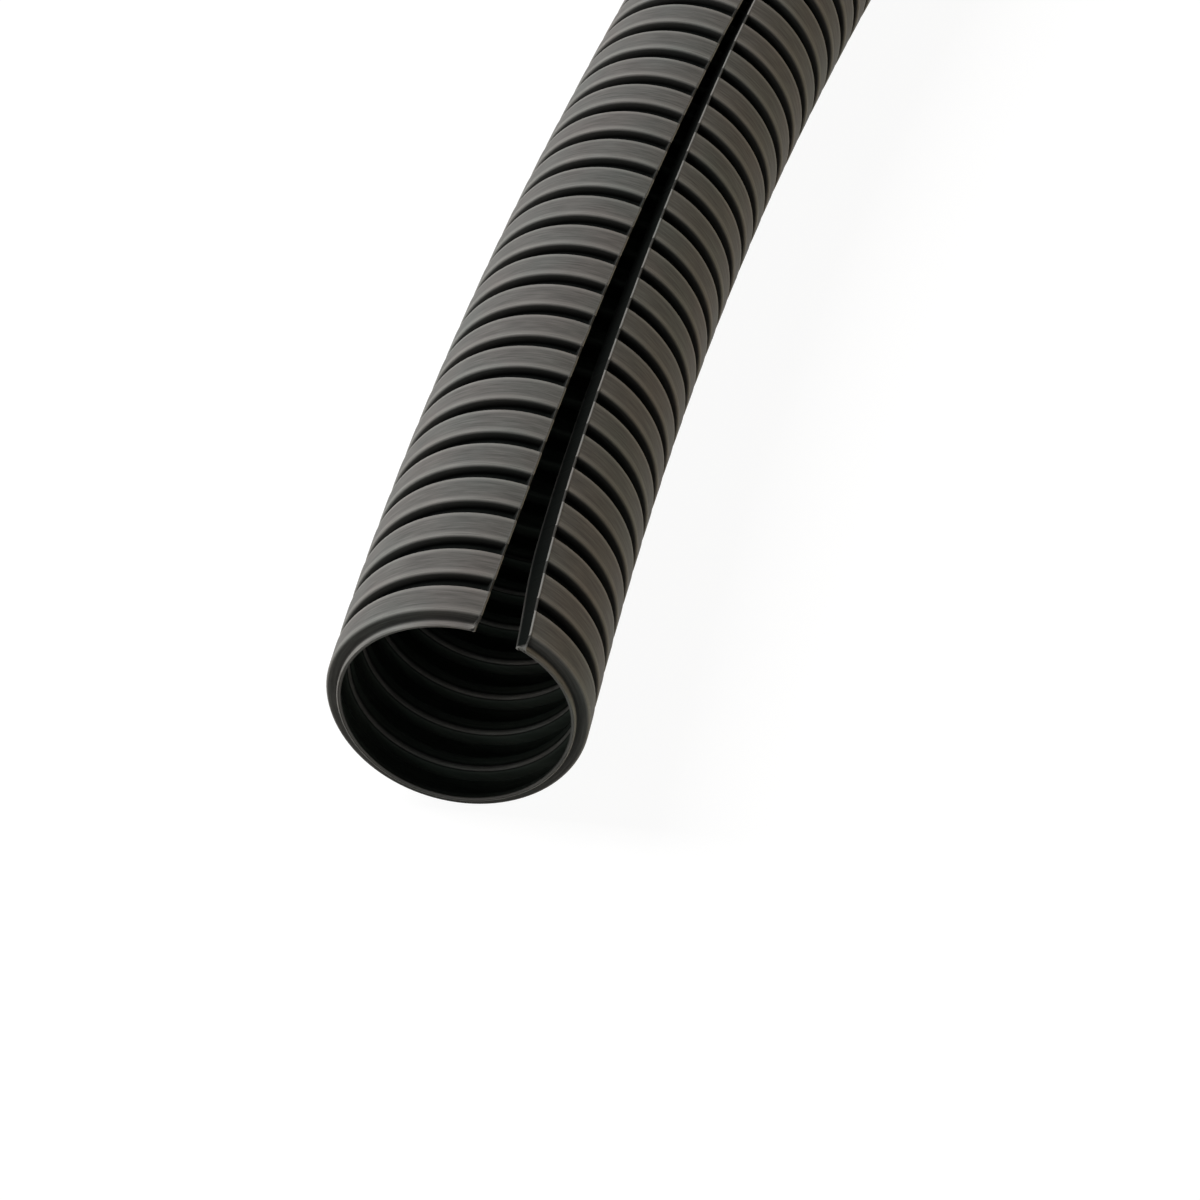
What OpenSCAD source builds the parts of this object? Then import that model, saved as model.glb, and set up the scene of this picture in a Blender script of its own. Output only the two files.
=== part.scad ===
// Split corrugated conduit: one thin moulded tube with wide crests, narrow grooves and a slit along it.
// It lies on a level floor, straight at its mouth and then in a gentle bend. Near the mouth the slit has
// sprung open, so the tube is spread a little wider there. The origin is on the tube's middle line, at the
// middle of the first crest, where a coupling seats.

/* [Tube] */
// Outside diameter over the crests, where the slit is closed, mm
crest_d = 54.5; // [30:0.5:80]
// Depth of the grooves, from the crests to the outside of the valleys, mm
groove_depth = 2.8; // [1:0.1:5]
// Wall thickness, mm
wall_t = 0.6; // [0.4:0.05:1.2]

/* [Corrugation] */
// Distance from one crest to the next, mm
pitch = 11.9; // [7:0.1:16]
// Width of a groove, mm
groove_w = 4; // [2:0.1:5]
// Number of crests along the conduit
crest_count = 42; // [20:1:60]

/* [Bend] */
// Radius of the bend at the middle of the tube, mm
bend_r = 1800; // [600:10:4000]

/* [Slit] */
// How far the slit lies from the top, towards the inside of the bend, degrees
slit_turn = 23.5; // [0:0.5:60]
// Width of the slit where it is closed, mm
slit_w = 0.8; // [0.4:0.1:3]
// Width of the slit at the mouth, mm
mouth_slit_w = 11; // [4:0.5:14]
// Length over which the slit opens, mm
open_l = 212; // [100:1:400]

/* [Hidden] */
round_fn = 96;
bend_fn = 960;

crest_r = crest_d / 2;
valley_r = crest_r - groove_depth;
// the first crest and half a groove on each side of it are straight, so that a coupling seats there
straight_l = pitch;
end_l = crest_count * pitch;
// how far the cutters run past the tube
past = 5;
// what the open slit is wider by, on each side, than the closed one where the two meet
slit_step = 0.05;
// by how little each ring overlaps the next, so that they join
hair = 0.000001;

// Angles are whole thousandths of a degree, so that rings which follow each other meet exactly.
function degrees(length) = length / bend_r * 180 / PI;
function whole(angle) = round(angle * 1000) / 1000;
function turn(length) = whole(degrees(length));

// How much the open slit adds to the tube's radius at a distance from the mouth.
function opening(length) = (mouth_slit_w - slit_w) * max(0, 1 - length / open_l);
function spread(length) = opening(length) / (2 * PI);

// Sweeps a section drawn round the tube's middle about the axis of the bend, which starts at angle 0.
module sweep(from_a, to_a) {
  translate([bend_r, straight_l])
    rotate_extrude(
      angle = whole(to_a - from_a) + degrees(hair),
      start = whole(180 - to_a) - degrees(hair),
      $fn = bend_fn
    )
      translate([bend_r, 0])
        children();
}

module run_straight(from_l, to_l) {
  translate([0, from_l, 0])
    rotate([90, 0, 180])
      linear_extrude(height = to_l - from_l + hair)
        children();
}

// Runs a section along the tube between two distances from the mouth.
module run(from_l, to_l) {
  if (from_l < straight_l) run_straight(from_l, min(to_l, straight_l)) children();
  if (to_l > straight_l)
    sweep(turn(max(from_l, straight_l) - straight_l), turn(to_l - straight_l)) children();
}

module disc(from_l, to_l, r, crest) {
  run(from_l, to_l) circle(r = r + spread(crest * pitch), $fn = round_fn);
}

// A row of crests with the valleys between them. Each valley's disc is valley_w wide.
module waves(crest_r, valley_r, valley_w, first_l, last_l) {
  for (k = [0 : crest_count])
    disc(max(first_l, k * pitch - valley_w / 2), min(last_l, k * pitch + valley_w / 2), valley_r, k);
  for (k = [0 : crest_count - 1])
    disc(k * pitch + valley_w / 2, (k + 1) * pitch - valley_w / 2, crest_r, k + 0.5);
}

module outside() {
  waves(crest_r, valley_r, groove_w, 0, end_l);
}

module inside() {
  waves(crest_r - wall_t, valley_r - wall_t, groove_w + 2 * wall_t, -past, end_l + past);
}

// The slit's frame in the section: its own length runs outward from the tube's middle.
module toward_slit() {
  rotate(90 + slit_turn) children();
}

module closed_slit() {
  run(-past, end_l + past)
    toward_slit()
      translate([0, -slit_w / 2])
        square([crest_r + past, slit_w]);
}

// One flank of the open slit. It is swept like the tube, but about an axis that lies off the bend's own by
// off_x and off_y, so that it closes in from half the mouth's width to half the closed slit's.
// A reach of 2 makes it the larger of the two, which is taken away from the other.
module flank(side, reach) {
  lean = cos(slit_turn);
  wide = mouth_slit_w / 2;
  narrow = slit_w / 2 + slit_step;
  mouth_a = -turn(straight_l);
  open_a = turn(open_l - straight_l);
  off_x = (wide * sin(open_a) - narrow * sin(mouth_a)) / sin(open_a - mouth_a) / lean;
  off_y = (wide * cos(open_a) - narrow * cos(mouth_a)) / sin(open_a - mouth_a) / lean;
  // what turning about the moved axis adds on the inside of the bend
  swing = off_y * off_y / (2 * bend_r);
  translate([-side * off_x - swing, -side * off_y])
    sweep(mouth_a - turn(off_y + reach * past), open_a + turn(off_y + (reach - 1) * past))
      toward_slit()
        translate([crest_r / 2 - reach * past, 0])
          square([crest_r / 2 + 3 * reach * past, reach * 3 * mouth_slit_w]);
}

module open_slit() {
  difference() {
    flank(1, 1);
    flank(-1, 2);
  }
}

module conduit() {
  color("DimGray")
    translate([0, -pitch / 2, 0])
      difference() {
        outside();
        inside();
        closed_slit();
        open_slit();
      }
}

conduit();
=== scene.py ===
from math import cos, pi, radians, sin, tau

import bpy
import numpy as np
from mathutils import Matrix, Vector


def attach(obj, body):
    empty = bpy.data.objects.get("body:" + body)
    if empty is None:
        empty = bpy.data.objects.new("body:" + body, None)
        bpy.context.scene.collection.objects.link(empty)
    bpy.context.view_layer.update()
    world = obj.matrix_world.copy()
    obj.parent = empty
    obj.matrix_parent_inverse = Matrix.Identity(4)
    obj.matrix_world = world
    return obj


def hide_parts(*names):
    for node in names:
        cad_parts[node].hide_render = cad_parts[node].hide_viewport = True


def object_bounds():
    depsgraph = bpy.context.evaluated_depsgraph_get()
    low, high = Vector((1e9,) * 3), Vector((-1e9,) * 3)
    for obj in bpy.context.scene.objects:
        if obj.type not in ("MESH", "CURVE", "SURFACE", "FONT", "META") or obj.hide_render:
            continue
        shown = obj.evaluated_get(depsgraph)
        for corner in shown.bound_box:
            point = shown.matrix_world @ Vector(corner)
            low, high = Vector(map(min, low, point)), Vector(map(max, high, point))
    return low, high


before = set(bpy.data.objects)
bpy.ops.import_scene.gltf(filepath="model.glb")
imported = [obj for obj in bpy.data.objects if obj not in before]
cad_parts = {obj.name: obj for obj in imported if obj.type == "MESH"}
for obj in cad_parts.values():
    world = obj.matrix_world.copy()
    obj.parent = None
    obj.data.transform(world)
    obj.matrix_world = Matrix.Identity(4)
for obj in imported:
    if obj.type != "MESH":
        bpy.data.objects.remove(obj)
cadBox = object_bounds()

mm = 0.001  # sizes below are in millimetres, the scene is in metres

# The tube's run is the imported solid's: straight at the mouth, then a gentle bend, with an open slit.
run = {
    "crestRadius": 27.2,
    "wall": 0.6,
    "grooveDepth": 2.8,
    "grooveWidth": 4.0,
    "pitch": 11.9,
    "crests": 42,
    "bendRadius": 1800,
    "slitTurn": 23.5,      # degrees from the top towards the inside of the bend
    "slitWander": 1.7,     # degrees the open slit strays further that way
    "wanderOver": 230,
    "slitShut": 0.8,
    "slitAtMouth": 11.0,
    "slitOpens": 300,      # length over which the slit opens
    "mouthFlare": 2.2,     # it widens by this much more close to the mouth
    "flareOver": 60,
    "spreadOver": 212,     # length over which the open slit widens the tube
    "mouthSag": 2.4,       # the sprung-open mouth is this much lower than round
    "sagOver": 90,
}

# How the wall is rounded, and how finely it is drawn.
wall = {
    "shoulderRound": 0.75,   # on the crests
    "footRound": 0.4,        # at the bottom of the grooves
    "shoulderSteps": 6,
    "footSteps": 3,
    "endSteps": 4,
    "endTurn": 75,           # degrees that each end of the wall is rounded by
    "mouthBead": 0.4,        # extra thickness of the mouth's edge
    "beadStarts": 0.4,       # how far from the mouth it begins to thin out
    "beadRuns": 0.9,         # and over what length
    "beadRows": (0.7, 1.0, 1.3),  # where the thinning is drawn
    "edgeLine": (0.2, 1.0),  # where the light line on each crest is strongest, and where it ends
    "columns": 102,          # round the tube, without the slit's lips
}

# A lip closes the ends of the crests and grooves along each side of the slit. It carries a bead on its
# inner edge, and on the side that the bend turns to it leans into the slit.
lip = {
    "thickness": 0.6,
    "heightAtMouth": 4.2,    # from the crests inwards
    "height": 5.0,
    "growsOver": 25,
    "lean": 0.42,            # of half the slit's width
    "leanAtMouth": 0.5,      # of that lean
    "leanGrowsOver": 35,
    "foot": 0.15,            # gap between the lip's back and where the tube's skin takes over
    "backSteps": 6,          # rows of faces up its back, in the bore
    "bead": 1.1,             # its height
    "beadFront": (0.2, 0.65),  # between which shares of that height it stands out in full
    "beadUnder": 0.3,        # how far back its underside starts, as a share of the same
    "beadOut": 0.22,         # how far it stands into the slit
    "beadFullAt": 2,         # half-width of the slit from which it stands out in full
    "beadFades": (45, 110),  # where it turns as dark as the lip's face, which is painted shade
    "grooveDip": 0.35,       # how far the lip's top sinks between two crests
    "dipSteepness": 2,
    "edge": 0.4,             # bevel on the cut edge
    "edgeRound": 0.3,        # how near the bevel's middle comes to the sharp corner, as a share of it
    "flatTop": 0.8,          # the top is level out to this share of the thickness
    "corner": 0.45,          # rounding where it meets the mouth, seen from above
    "endRound": 0.8,         # rounding of its lower end at the mouth
}

# Tones of the plastic: edges (painted highlights and wear), crests, grooves (painted shade) and the bore
# (painted shade).
tones = {"edge": -1, "crest": 0, "groove": 1, "bore": 2}

# Where each tone shows, on the scale above: the light tones are painted highlights, with some wear on the
# edges, and the dark ones are painted shade.
wearAndPaintedLight = {
    "depths": (0, 0.03, 0.1, 0.3, 0.6, 1.2, 2.0),  # from the crests inwards: painted highlight on the shoulders, painted shade down in the grooves
    "atDepths": (0, -0.6, -0.8, -0.1, 0.4, 0.95, 1),
    "crestEdge": -0.5,           # painted highlight line on each crest
    "shoulder": -0.55,           # painted highlight where the level part of a crest begins
    "mouthSide": 0.7,            # share of the painted highlight on the side of a crest that faces the mouth
    "mouthWall": 0.65,           # darkest painted shade between the mouth and the first crest
    "mouthWallEnds": 0.1,        # beyond the side of that half groove
    # painted highlight on the mouth's rim
    "mouthEdge": -0.35,
    "mouthRun": (0.9, 0.9),      # where the mouth's tone starts to give way, and over what length
    "lipMouthRun": (0.2, 0.5),   # the same on the slit's lips
    "boreRun": 0.8,              # over what length the bore turns from the crests' tone to its own
    "ribLine": 2.15,             # painted highlight: how much lighter than the bore the near edge of each rib is
    "ribTop": 0.2,               # within this depth of a rib's top it shows
    "ribEdge": (0.2, 0.5),       # how far it runs, before and after that edge
    "ribLineFades": (55, 110),   # where that painted highlight is lost in the dark
    "beadTones": (0.5, 0.35),    # low and high on the lip's bead, at the mouth, before it fades into the lip face's painted shade
    "lipEdge": (-1, 0.45),       # on the lip's cut edge: painted highlight and wear beside a crest, painted shade beside a groove
    # painted shade on the lip's top beside a groove
    "lipTop": (0, 0.6),
    "lipBack": 1.6,              # times the tone of the lip's top, as painted shade on its back
}


def easeIn(share):
    share = np.clip(share, 0, 1)
    return share * share * (3 - 2 * share)


def isAt(places, place):
    return np.abs(places - place) < 0.01  # mm


def slitWidth(along):
    evenPart = run["slitAtMouth"] - run["slitShut"] - run["mouthFlare"]
    opening = evenPart * np.maximum(0, 1 - along / run["slitOpens"])
    flare = run["mouthFlare"] * np.maximum(0, 1 - along / run["flareOver"]) ** 2
    inCorner = np.clip(1 - along / lip["corner"], 0, 1)
    cornerWidth = 2 * lip["corner"] * (1 - np.sqrt(1 - inCorner ** 2))
    return run["slitShut"] + opening + flare + cornerWidth


def spreadBySlit(along):
    # Each crest and each valley keeps one radius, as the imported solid's do.
    pitches = along / run["pitch"]
    nearest = np.round(pitches)
    inGroove = np.abs(pitches - nearest) * run["pitch"] < run["grooveWidth"] / 2 - 1e-6
    ring = np.where(inGroove, nearest, np.floor(pitches) + 0.5) * run["pitch"]
    opening = (run["slitAtMouth"] - run["slitShut"]) * np.maximum(0, 1 - ring / run["spreadOver"])
    return opening / tau


def placeOnTube(along, radius, aside):
    # aside is the angle round the tube, from the slit's middle
    turned = np.maximum(along - run["pitch"], 0) / run["bendRadius"]
    straight = np.minimum(along, run["pitch"])
    wander = radians(run["slitWander"]) * np.sin(pi * np.clip(along / run["wanderOver"], 0, 1))
    angle = aside + radians(run["slitTurn"]) + wander
    reach = run["bendRadius"] - radius * np.sin(angle)
    x = run["bendRadius"] - reach * np.cos(turned)
    y = reach * np.sin(turned) + straight - run["pitch"] / 2
    z = radius * np.cos(angle)
    sag = run["mouthSag"] * np.maximum(0, 1 - along / run["sagOver"]) ** 2
    z = np.where(z > 0, z * (1 - sag / run["crestRadius"]), z)
    return np.stack(np.broadcast_arrays(x, y, z), axis=-1) * mm


def arcPair(centre, turns, outer, inner):
    # Two points at each turn of an arc, on the wall's outside and its inside.
    # A turn of 0 points out of the tube, 90 back towards the mouth.
    pairs = []
    for turn in turns:
        away = np.array([-sin(radians(turn)), -cos(radians(turn))])
        pairs.append((centre + outer * away, centre + inner * away))
    return pairs


def halfWave():
    # The wall from the middle of a groove to the middle of a crest, as (along, depth) pairs.
    halfGroove = run["grooveWidth"] / 2
    deep, thick = run["grooveDepth"], run["wall"]
    foot, shoulder = wall["footRound"], wall["shoulderRound"]
    pairs = [(np.array([0.0, deep]), np.array([0.0, deep + thick]))]
    footCentre = np.array([halfGroove - foot, deep - foot])
    for turn in np.linspace(0, 90, wall["footSteps"] + 1):
        into = np.array([sin(radians(turn)), cos(radians(turn))])
        pairs.append((footCentre + foot * into, footCentre + (foot + thick) * into))
    shoulderCentre = np.array([halfGroove + shoulder, shoulder])
    shoulderTurns = np.linspace(90, 0, wall["shoulderSteps"] + 1)
    pairs += arcPair(shoulderCentre, shoulderTurns, shoulder, shoulder - thick)
    for offset in wall["edgeLine"]:
        flat = halfGroove + shoulder + offset
        pairs.append((np.array([flat, 0.0]), np.array([flat, thick])))
    middle = run["pitch"] / 2
    pairs.append((np.array([middle, 0.0]), np.array([middle, thick])))
    return pairs


def wallLine():
    # The whole wall from the mouth to the far end, outside and inside points side by side.
    rising = halfWave()
    pitch, length = run["pitch"], run["pitch"] * run["crests"]
    outside, inside = [], []
    for crest in range(run["crests"]):
        for outer, inner in rising:
            outside.append(outer + [crest * pitch, 0])
            inside.append(inner + [crest * pitch, 0])
        for outer, inner in reversed(rising[1:-1]):
            outside.append([(crest + 1) * pitch - outer[0], outer[1]])
            inside.append([(crest + 1) * pitch - inner[0], inner[1]])
    half = run["wall"] / 2
    middleDepth = run["grooveDepth"] + half
    ends = []
    for turn in np.radians(np.linspace(wall["endTurn"], 0, wall["endSteps"])):
        ends.append((half - half * sin(turn), half * cos(turn)))
    mouthOut = [[back, middleDepth - aside] for back, aside in ends]
    mouthIn = [[back, middleDepth + aside + wall["mouthBead"] * back / half] for back, aside in ends]
    for back in wall["beadRows"]:
        bead = wall["mouthBead"] * (1 - easeIn((back - wall["beadStarts"]) / wall["beadRuns"]))
        mouthOut.append([back, run["grooveDepth"]])
        mouthIn.append([back, run["grooveDepth"] + run["wall"] + bead])
    farOut = [[length - back, middleDepth - aside] for back, aside in reversed(ends)]
    farIn = [[length - back, middleDepth + aside] for back, aside in reversed(ends)]
    return np.array(mouthOut + outside[1:] + farOut), np.array(mouthIn + inside[1:] + farIn)


def lipShape(along, leaning):
    # The lip's section at each row: half the slit, its lean, its height and how far its top dips.
    half = slitWidth(along) / 2
    leanShare = lip["leanAtMouth"] + (1 - lip["leanAtMouth"]) * easeIn(along / lip["leanGrowsOver"])
    lean = leaning * leanShare * slitWidth(along + lip["corner"]) / 2
    growth = (lip["height"] - lip["heightAtMouth"]) * easeIn(along / lip["growsOver"])
    height = lip["heightAtMouth"] + growth
    inEnd = np.clip(1 - along / lip["endRound"], 0, 1)
    height = height - lip["endRound"] * (1 - np.sqrt(1 - inEnd ** 2))
    fromEnd = np.minimum(along, run["pitch"] * run["crests"] - along) / (run["grooveWidth"] / 2)
    atEnd = run["grooveDepth"] * (1 - np.sin(np.clip(fromEnd, 0, 1) * pi / 2))
    wave = np.clip(np.cos(along / run["pitch"] * tau) * lip["dipSteepness"], 0, 1)
    dip = np.where(fromEnd < 1, atEnd, lip["grooveDip"] * wave)
    return half, lean, height, dip


def lipColumns(line, inside, leaning):
    # Nine columns over the lip, from its inner edge to where it meets the tube's skin.
    along = line[:, 0]
    radius = run["crestRadius"] - line[:, 1] + spreadBySlit(along)
    full = run["crestRadius"] + spreadBySlit(along)
    half, lean, height, dip = lipShape(along, leaning)
    top = np.sqrt(np.maximum(full - dip, radius) ** 2 - half ** 2)
    low = np.sqrt(full ** 2 - half ** 2) - height
    thick, edge, bead = lip["thickness"], lip["edge"], lip["bead"]
    beadLow, beadHigh = low + lip["beadFront"][0] * bead, low + lip["beadFront"][1] * bead
    foot = half + thick + lip["foot"]
    onSkin = np.sqrt(radius ** 2 - foot ** 2)
    inner = half - lean
    front = inner - lip["beadOut"] * np.minimum(1, half / lip["beadFullAt"])
    if inside:
        back = inner + thick
        corners = [(front + lip["beadUnder"] * bead, low), (inner + thick / 2, low), (back, beadLow)]
        for share in np.linspace(0, 1, lip["backSteps"] + 1)[1:]:
            corners.append((back * (1 - share) + foot * share, beadLow * (1 - share) + onSkin * share))
    else:
        backUp = np.maximum(top - edge, np.sqrt(radius ** 2 - (half + thick) ** 2))
        offCorner, level = lip["edgeRound"] * edge, lip["flatTop"] * thick
        corners = [(front, beadLow), (front, beadHigh), (inner, low + bead),
                   (half, top - edge), (half + offCorner, top - offCorner), (half + edge, top),
                   (half + level, np.maximum(top, backUp)), (half + thick, backUp), (foot, onSkin)]
    sides = np.stack([side for side, up in corners], axis=1)
    heights = np.stack([up for side, up in corners], axis=1)
    return np.hypot(sides, heights), np.arctan2(sides, heights)


def skin(line, inside):
    # One side of the wall, from one lip round to the other.
    along = line[:, 0:1]
    radius = run["crestRadius"] - line[:, 1:2] + spreadBySlit(along)
    nearRadius, nearAside = lipColumns(line, inside, lip["lean"])
    farRadius, farAside = lipColumns(line, inside, 0)
    first = nearAside[:, -1:]
    share = np.linspace(0, 1, wall["columns"])[None, 1:-1]
    aside = first + share * (tau - 2 * first)
    allAside = np.concatenate([nearAside, aside, tau - farAside[:, ::-1]], axis=1)
    middleRadius = np.broadcast_to(radius, aside.shape)
    allRadius = np.concatenate([nearRadius, middleRadius, farRadius[:, ::-1]], axis=1)
    return np.broadcast_to(along, allAside.shape), allRadius, allAside


def gridFaces(rows, columns, offset, flip):
    row, column = np.meshgrid(np.arange(rows - 1), np.arange(columns - 1), indexing="ij")
    corner = offset + row * columns + column
    quads = np.stack([corner, corner + 1, corner + columns + 1, corner + columns], axis=-1).reshape(-1, 4)
    return quads[:, ::-1] if flip else quads


def buildStretch(name, outLine, inLine):
    outer = skin(outLine, False)
    inner = skin(inLine, True)
    rows, columns = outer[0].shape
    points = np.concatenate([placeOnTube(*outer).reshape(-1, 3), placeOnTube(*inner).reshape(-1, 3)])
    count = rows * columns
    faces = [gridFaces(rows, columns, 0, True), gridFaces(rows, columns, count, False)]
    row = np.arange(rows - 1) * columns
    for column, flip in ((0, True), (columns - 1, False)):  # the lips' inner edges
        near, far = row + column, row + column + columns
        quads = np.stack([near, near + count, far + count, far], axis=-1)
        faces.append(quads if flip else quads[:, ::-1])
    across = np.arange(columns - 1)
    for start, flip in ((0, False), ((rows - 1) * columns, True)):  # the two ends
        left, right = start + across, start + across + 1
        quads = np.stack([left, right, right + count, left + count], axis=-1)
        faces.append(quads if flip else quads[:, ::-1])
    faces = np.concatenate(faces)
    mesh = bpy.data.meshes.new(name)
    mesh.from_pydata(points.tolist(), [], faces.tolist())
    place = mesh.attributes.new("tubePlace", "FLOAT_VECTOR", "POINT")
    place.data.foreach_set("vector", tubePlace(outer, inner, outLine, inLine).ravel())
    mesh.shade_smooth()
    mesh.update()
    piece = bpy.data.objects.new(name, mesh)
    bpy.context.scene.collection.objects.link(piece)
    weighted = piece.modifiers.new("evenShading", "WEIGHTED_NORMAL")
    weighted.keep_sharp = False
    return piece


def rowTones(line, inside):
    # How light or dark each row is painted: painted highlights on the crests' shoulders and the mouth,
    # painted shade in the grooves and in the bore, with a painted highlight on each rib's near edge.
    along, depth = line[:, 0], line[:, 1]
    inPitch = np.mod(along, run["pitch"])
    halfGroove = run["grooveWidth"] / 2
    if inside:
        nearWall = run["pitch"] - halfGroove  # each rib in the bore is a groove's back
        before, after = wearAndPaintedLight["ribEdge"]
        nearEdge = (inPitch > nearWall - before) & (inPitch < nearWall + after)
        nearEdge &= depth > run["grooveDepth"] + run["wall"] - wearAndPaintedLight["ribTop"]
        start, end = wearAndPaintedLight["ribLineFades"]
        lighter = wearAndPaintedLight["ribLine"] * (1 - easeIn((along - start) / (end - start)))
        # painted highlight on each rib's near edge, against the bore's painted shade
        tone = np.where(nearEdge, tones["bore"] - lighter, tones["bore"])
        return tones["crest"] + (tone - tones["crest"]) * easeIn(along / wearAndPaintedLight["boreRun"])
    # painted highlights on the shoulders, painted shade in the grooves
    tone = np.interp(depth, wearAndPaintedLight["depths"], wearAndPaintedLight["atDepths"])
    onCrest = np.minimum(inPitch, run["pitch"] - inPitch) - halfGroove - wall["shoulderRound"]
    tone = np.where(isAt(onCrest, wall["edgeLine"][0]), wearAndPaintedLight["crestEdge"], tone)
    tone = np.where(isAt(onCrest, 0), wearAndPaintedLight["shoulder"], tone)
    tone = np.where((inPitch < run["pitch"] / 2) & (tone < 0), tone * wearAndPaintedLight["mouthSide"], tone)
    # the painted shade is lighter in the half groove at the mouth
    atMouth = along < halfGroove + wearAndPaintedLight["mouthWallEnds"]
    tone = np.where(atMouth, np.minimum(tone, wearAndPaintedLight["mouthWall"]), tone)
    # painted highlight on the mouth's rim
    start, length = wearAndPaintedLight["mouthRun"]
    fromMouth = easeIn((along - start) / length)
    return wearAndPaintedLight["mouthEdge"] * (1 - fromMouth) + tone * fromMouth


def lipTones(line):
    # Eight columns of tones over one lip, from its bead up the face in painted shade to its cut edge,
    # with a painted highlight beside each crest, and its back.
    along, depth = line[:, 0], line[:, 1]
    raised = depth < wall["shoulderRound"]
    start, end = lip["beadFades"]
    faded = easeIn((along - start) / (end - start))
    beadLow, beadHigh = (tone + (tones["groove"] - tone) * faded for tone in wearAndPaintedLight["beadTones"])
    # the lip's face in the grooves' painted shade
    face = np.full_like(along, tones["groove"])
    # painted highlight and wear beside a crest, painted shade beside a groove
    edge = np.where(raised, *wearAndPaintedLight["lipEdge"])
    top = np.where(raised, *wearAndPaintedLight["lipTop"])
    columns = np.stack([beadLow, beadHigh, face, face, edge, top, top, top * wearAndPaintedLight["lipBack"]], axis=1)
    start, length = wearAndPaintedLight["lipMouthRun"]
    atMouth = 1 - easeIn((along - start) / length)[:, None]
    return columns * (1 - atMouth) + wearAndPaintedLight["mouthEdge"] * atMouth


def tubePlace(outer, inner, outLine, inLine):
    # For the finish: how far along, how far round, and which tone, the tone carrying the painted
    # highlights and shade.
    rows = []
    for (along, radius, aside), line, inside in ((outer, outLine, False), (inner, inLine, True)):
        tone = np.repeat(rowTones(line, inside)[:, None], along.shape[1], axis=1)
        if not inside:
            onLip = lipTones(line)
            count = onLip.shape[1]
            tone[:, :count] = onLip
            tone[:, -count:] = onLip[:, ::-1]
        rows.append(np.stack([along * mm, radius * aside * mm, tone], axis=-1).reshape(-1, 3))
    return np.concatenate(rows)


def buildConduit(material):
    outLine, inLine = wallLine()
    names = ["conduitMouth", "conduitMiddle", "conduitFar"]
    crestsEach = run["crests"] // len(names)
    ends = [0]
    for count in range(1, len(names)):  # the stretches meet in the middle of a groove
        meeting = count * crestsEach * run["pitch"]
        ends.append(int(np.argmin(np.abs(outLine[:, 0] - meeting))))
    ends.append(len(outLine) - 1)
    pieces = []
    for name, first, last in zip(names, ends, ends[1:]):
        piece = buildStretch(name, outLine[first:last + 1], inLine[first:last + 1])
        piece.data.materials.append(material)
        pieces.append(piece)
    return pieces


# Matt dark grey plastic, lightly scuffed, with fine lines from its making. Its edge colour paints
# highlights as well as wear, and its groove and bore colours paint shade.
plastic = {
    "edge": (0.32, 0.315, 0.30),
    "crest": (0.132, 0.130, 0.125),
    "groove": (0.004, 0.005, 0.0045),
    "bore": (0.034, 0.042, 0.036),
    "roughness": (0.48, 0.64),
    "dullInGrooves": 0.35,          # added to the roughness there
    "gloss": 0.05,
    "bump": 0.05,                   # depth of the lines and the grain, mm
    "bumpStrength": 0.35,
    "lines": (2200, 130, 40),       # how fine they are along the tube, round it and by tone
    "lineTones": (0.68, 1.32),
    "patches": 60,                  # how fine the patches of warmer and cooler tint are
    "warm": (1.10, 0.97, 0.95),
    "cool": (0.92, 1.02, 1.0),
    "grain": 2600,
}


def node(tree, kind, **settings):
    made = tree.nodes.new(kind)
    for name, value in settings.items():
        setattr(made, name, value)
    return made


def noise(tree, scale, detail, place):
    made = node(tree, "ShaderNodeTexNoise")
    made.inputs["Scale"].default_value = scale
    made.inputs["Detail"].default_value = detail
    tree.links.new(place, made.inputs["Vector"])
    return made


def mapRange(tree, source, fromEnds, toEnds):
    made = node(tree, "ShaderNodeMapRange")
    made.inputs["From Min"].default_value, made.inputs["From Max"].default_value = fromEnds
    made.inputs["To Min"].default_value, made.inputs["To Max"].default_value = toEnds
    tree.links.new(source, made.inputs["Value"])
    return made.outputs[0]


def multiply(tree, first, second):
    made = node(tree, "ShaderNodeMix", data_type="RGBA", blend_type="MULTIPLY")
    made.inputs["Factor"].default_value = 1
    tree.links.new(first, made.inputs["A"])
    tree.links.new(second, made.inputs["B"])
    return made.outputs["Result"]


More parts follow.
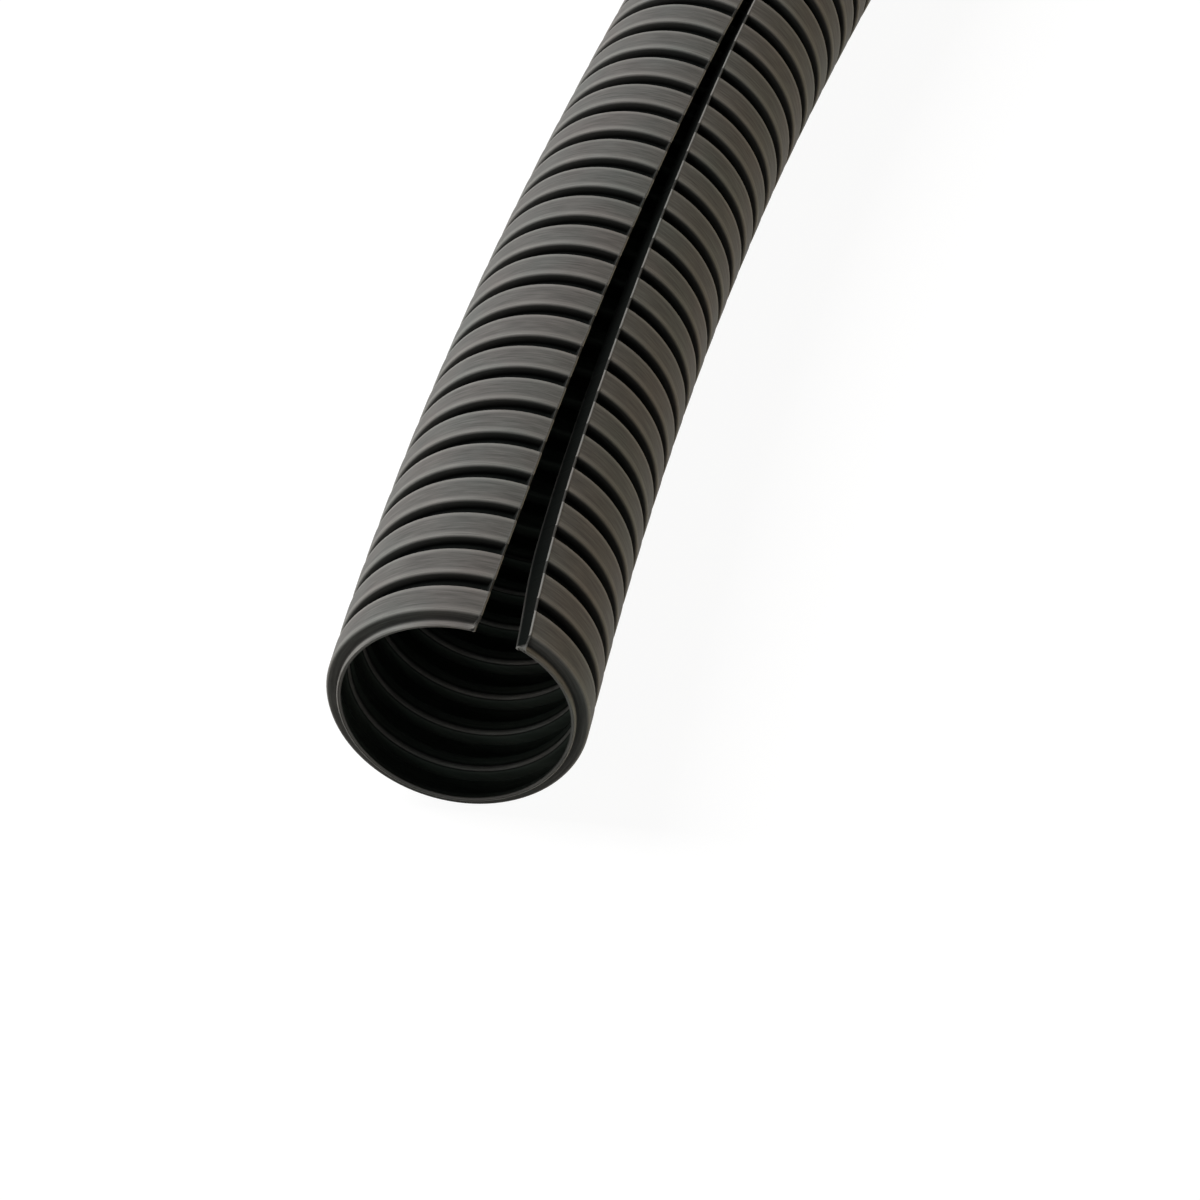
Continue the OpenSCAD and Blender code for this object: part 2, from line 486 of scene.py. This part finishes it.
def mouldedPlastic():
    material = bpy.data.materials.new("mouldedPlastic")
    material.use_nodes = True
    tree = material.node_tree
    link = tree.links.new
    shader = tree.nodes["Principled BSDF"]
    place = node(tree, "ShaderNodeAttribute", attribute_name="tubePlace")
    split = node(tree, "ShaderNodeSeparateXYZ")
    link(place.outputs["Vector"], split.inputs[0])

    # Fine lines run round the tube, where it was drawn through its cooling blocks.
    lineScale = node(tree, "ShaderNodeMapping")
    lineScale.inputs["Scale"].default_value = plastic["lines"]
    link(place.outputs["Vector"], lineScale.inputs["Vector"])
    lines = noise(tree, 1, 4, lineScale.outputs[0])
    lines.inputs["Roughness"].default_value = 0.6
    coordinates = node(tree, "ShaderNodeTexCoord")
    patches = noise(tree, plastic["patches"], 3, coordinates.outputs["Object"])
    grain = noise(tree, plastic["grain"], 2, coordinates.outputs["Object"])
    lineEnds = (0.3, 0.7)  # the noise seldom leaves this range

    # Colour by tone: the edge colour is painted highlight and wear, the groove and bore colours are
    # painted shade.
    byTone = node(tree, "ShaderNodeValToRGB")
    ramp = byTone.color_ramp
    ramp.elements[0].color = (*plastic["edge"], 1)
    ramp.elements[1].color = (*plastic["bore"], 1)
    for tone in ("crest", "groove"):
        ramp.elements.new((tones[tone] + 1) / 3).color = (*plastic[tone], 1)
    onRamp = mapRange(tree, split.outputs["Z"], (tones["edge"], tones["bore"]), (0, 1))
    link(onRamp, byTone.inputs["Fac"])
    lineTones = mapRange(tree, lines.outputs["Fac"], lineEnds, plastic["lineTones"])
    toned = multiply(tree, byTone.outputs["Color"], lineTones)
    tint = node(tree, "ShaderNodeMix", data_type="RGBA")
    tint.inputs["A"].default_value = (*plastic["warm"], 1)
    tint.inputs["B"].default_value = (*plastic["cool"], 1)
    link(patches.outputs["Fac"], tint.inputs["Factor"])
    link(multiply(tree, toned, tint.outputs["Result"]), shader.inputs["Base Color"])

    fromGroove = node(tree, "ShaderNodeMath", operation="SUBTRACT")
    fromGroove.inputs[1].default_value = tones["groove"]
    link(split.outputs["Z"], fromGroove.inputs[0])
    awayFromGroove = node(tree, "ShaderNodeMath", operation="ABSOLUTE")
    link(fromGroove.outputs[0], awayFromGroove.inputs[0])
    dull = mapRange(tree, awayFromGroove.outputs[0], (0, 1), (plastic["dullInGrooves"], 0))
    roughness = node(tree, "ShaderNodeMath", operation="ADD")
    link(mapRange(tree, lines.outputs["Fac"], lineEnds, plastic["roughness"]), roughness.inputs[0])
    link(dull, roughness.inputs[1])
    link(roughness.outputs[0], shader.inputs["Roughness"])

    relief = node(tree, "ShaderNodeMath", operation="ADD")
    link(lines.outputs["Fac"], relief.inputs[0])
    link(grain.outputs["Fac"], relief.inputs[1])
    bump = node(tree, "ShaderNodeBump")
    bump.inputs["Strength"].default_value = plastic["bumpStrength"]
    bump.inputs["Distance"].default_value = plastic["bump"] * mm
    link(relief.outputs[0], bump.inputs["Height"])
    link(bump.outputs[0], shader.inputs["Normal"])
    shader.inputs["IOR"].default_value = 1.5
    shader.inputs["Specular IOR Level"].default_value = plastic["gloss"]
    return material


# A pale floor in a plain studio.
studio = {
    "floorSize": 6.0,                 # metres, as all the studio's sizes
    "floorTint": (0.6, 0.6, 0.57),    # what the floor throws back onto the tube
    "floorShade": (0.13, 0.13, 0.13),  # how strongly the tube's shadow shows on it
    "floorLift": 0.94,                # its own light, so that it looks white
    "worldTone": 0.04,
    "lampAway": 1.6,
    "middle": (0.02, 0.12, 0),        # what the lamps point at
    "lamps": {                        # direction from there, width and height, watts, colour
        "key": ((-0.72, 0.05, 0.69), (0.5, 1.4), 29, (1, 1, 1)),
        "rim": ((1.0, 0.1, 0.0), (0.1, 1.2), 12, (1.0, 0.82, 0.52)),
        "fill": ((-0.3, -1.0, 0.22), (1.2, 0.8), 6, (0.97, 1.0, 0.97)),
    },
}


def seenStraight(tree):
    # 1 where the camera, a gloss or a glass looks at it, 0 where it lights the object
    path = node(tree, "ShaderNodeLightPath")
    first = node(tree, "ShaderNodeMath", operation="MAXIMUM")
    both = node(tree, "ShaderNodeMath", operation="MAXIMUM")
    tree.links.new(path.outputs["Is Camera Ray"], first.inputs[0])
    tree.links.new(path.outputs["Is Glossy Ray"], first.inputs[1])
    tree.links.new(first.outputs[0], both.inputs[0])
    tree.links.new(path.outputs["Is Transmission Ray"], both.inputs[1])
    return both.outputs[0]


def floorWhite():
    material = bpy.data.materials.new("floorWhite")
    material.use_nodes = True
    tree = material.node_tree
    tree.nodes.clear()
    out = node(tree, "ShaderNodeOutputMaterial")
    plain = node(tree, "ShaderNodeBsdfDiffuse")
    plain.inputs["Color"].default_value = (*studio["floorTint"], 1)
    pale = node(tree, "ShaderNodeBsdfDiffuse")
    pale.inputs["Color"].default_value = (*studio["floorShade"], 1)
    lift = node(tree, "ShaderNodeEmission")
    lift.inputs["Strength"].default_value = studio["floorLift"]
    both = node(tree, "ShaderNodeAddShader")
    tree.links.new(pale.outputs[0], both.inputs[0])
    tree.links.new(lift.outputs[0], both.inputs[1])
    choose = node(tree, "ShaderNodeMixShader")
    tree.links.new(seenStraight(tree), choose.inputs[0])
    tree.links.new(plain.outputs[0], choose.inputs[1])
    tree.links.new(both.outputs[0], choose.inputs[2])
    tree.links.new(choose.outputs[0], out.inputs["Surface"])
    return material


def buildFloor(height):
    half = studio["floorSize"] / 2
    mesh = bpy.data.meshes.new("floor")
    corners = [(-half, -half, height), (half, -half, height), (half, half, height), (-half, half, height)]
    mesh.from_pydata(corners, [], [(0, 1, 2, 3)])
    floor = bpy.data.objects.new("floor", mesh)
    floor.data.materials.append(floorWhite())
    bpy.context.scene.collection.objects.link(floor)


def setWorld():
    world = bpy.data.worlds.new("studio")
    bpy.context.scene.world = world
    world.use_nodes = True
    tree = world.node_tree
    tree.nodes.clear()
    out = node(tree, "ShaderNodeOutputWorld")
    light = node(tree, "ShaderNodeBackground")
    light.inputs["Strength"].default_value = studio["worldTone"]
    white = node(tree, "ShaderNodeBackground")
    choose = node(tree, "ShaderNodeMixShader")
    tree.links.new(seenStraight(tree), choose.inputs[0])
    tree.links.new(light.outputs[0], choose.inputs[1])
    tree.links.new(white.outputs[0], choose.inputs[2])
    tree.links.new(choose.outputs[0], out.inputs["Surface"])


def addSoftbox(name, direction, size, power, colour):
    light = bpy.data.lights.new(name, "AREA")
    light.shape = "RECTANGLE"
    light.size, light.size_y = size
    light.energy = power
    light.color = colour
    lamp = bpy.data.objects.new(name, light)
    away = Vector(direction).normalized()
    lamp.location = Vector(studio["middle"]) + away * studio["lampAway"]
    lamp.rotation_euler = away.to_track_quat("Z", "Y").to_euler()
    bpy.context.scene.collection.objects.link(lamp)


# The view along the tube, from above its mouth.
view = {
    "lens": 155.4,
    "turn": -10.79,    # degrees off the tube's own way, seen from above
    "down": 39.93,     # degrees below level
    "roll": -1.19,     # degrees, against the clock
    "away": 1105.4,    # to the mouth, millimetres
    "aside": 31.35,    # how far the view's middle lies to the right of the mouth and above it
    "above": 22.96,
}


def addCamera():
    turn, down, roll = radians(view["turn"]), radians(view["down"]), radians(view["roll"])
    forward = Vector((sin(turn) * cos(down), cos(turn) * cos(down), -sin(down)))
    level = Vector((cos(turn), -sin(turn), 0))
    upright = level.cross(forward)
    mouth = Vector((0, -run["pitch"] / 2, 0))
    spot = mouth - forward * view["away"] + level * view["aside"] + upright * view["above"]
    right = level * cos(roll) + upright * sin(roll)
    up = upright * cos(roll) - level * sin(roll)
    lens = bpy.data.cameras.new("camera")
    lens.lens = view["lens"]
    lens.sensor_width = 36
    lens.clip_end = 50
    camera = bpy.data.objects.new("camera", lens)
    camera.matrix_world = Matrix((
        (right.x, up.x, -forward.x, spot.x * mm),
        (right.y, up.y, -forward.y, spot.y * mm),
        (right.z, up.z, -forward.z, spot.z * mm),
        (0, 0, 0, 1)))
    bpy.context.scene.collection.objects.link(camera)
    bpy.context.scene.camera = camera


finish = mouldedPlastic()
print("finish made")

pieces = buildConduit(finish)
for piece in pieces:
    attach(piece, "root")
    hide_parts("conduit")
print("conduit built in", len(pieces), "stretches")

buildFloor(cadBox[0][2])
setWorld()
for lampName, values in studio["lamps"].items():
    addSoftbox(lampName, *values)
print("floor and light set")

addCamera()
print("camera set")

bpy.context.scene.view_settings.view_transform = "Standard"
